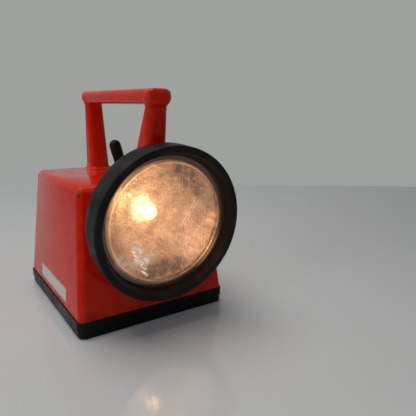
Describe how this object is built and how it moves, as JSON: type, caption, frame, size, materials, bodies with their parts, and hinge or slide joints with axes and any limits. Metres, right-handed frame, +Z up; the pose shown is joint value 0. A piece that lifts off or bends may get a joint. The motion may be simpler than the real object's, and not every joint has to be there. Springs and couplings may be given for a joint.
{
  "type": "railway hand lantern",
  "caption": "Rechargeable railway hand lantern: tapered red casing on a black base tray, round lamp head in a rubber bezel, carrying handle and booted toggle switch.",
  "frame": {"origin": "middle of the base tray's flat underside, which rests on the ground", "axes": "+Z up, the lamp looks along -Y, +X to the right seen from the lamp's side"},
  "size_m": [0.13, 0.1795, 0.1854],
  "materials": {
    "red_paint": "glossy orange-red enamel, worn at the edges",
    "tray_black": "satin black moulding",
    "seal_rubber": "matt",
    "screw_steel": "zinc plated",
    "contact_brass": "dull brass",
    "tinned_copper": "tinned",
    "battery_grey": "moulded case",
    "strap_steel": "zinc plated sheet",
    "bezel_rubber": "matt black rubber",
    "lens_glass": "clear, finely pressed pattern, scratched",
    "reflector_silver": "silvered",
    "bulb_glass": "clear",
    "filament": "glowing",
    "holder_steel": "nickel plated",
    "fibre_board": "pressed fibre",
    "switch_brown": "moulded bakelite",
    "collar_black": "satin black",
    "boot_rubber": "matt black rubber",
    "lead_red": "insulated wire",
    "lead_black": "insulated wire"
  },
  "bodies": {
    "lantern": {"casing": "red_paint", "carry_handle": "red_paint", "handle_screws": "screw_steel", "base_tray": "tray_black", "tray_seal": "seal_rubber", "tray_screws": "screw_steel", "charging_contacts": "contact_brass", "contact_nuts": "screw_steel", "contact_lugs": "tinned_copper", "battery": "battery_grey", "battery_tabs": "tinned_copper", "battery_lugs": "contact_brass", "battery_strap": "strap_steel", "strap_screws": "screw_steel", "bezel_ring": "bezel_rubber", "lens": "lens_glass", "lens_seal": "seal_rubber", "reflector": "reflector_silver", "bulb_glass": "bulb_glass", "bulb_filament": "filament", "bulb_cap": "contact_brass", "bulb_holder": "holder_steel", "holder_insulator": "fibre_board", "centre_contact": "contact_brass", "shell_tag": "contact_brass", "switch_case": "switch_brown", "switch_bushing": "holder_steel", "switch_tabs": "contact_brass", "pivot_pin": "screw_steel", "boot_collar": "collar_black", "switch_feed_lead": "lead_red", "lamp_feed_lead": "lead_red", "lamp_return_lead": "lead_black", "charge_lead_right": "lead_red", "charge_lead_left": "lead_black"},
    "toggle": {"toggle_lever": "holder_steel", "toggle_boot": "boot_rubber"}
  },
  "joints": [
    {"name": "toggle_swing", "type": "hinge", "parent": "lantern", "child": "toggle", "pos_m": [0, -0.012, 0.115], "axis": [0, 1, 0], "range_deg": [0, 32]}
  ]
}
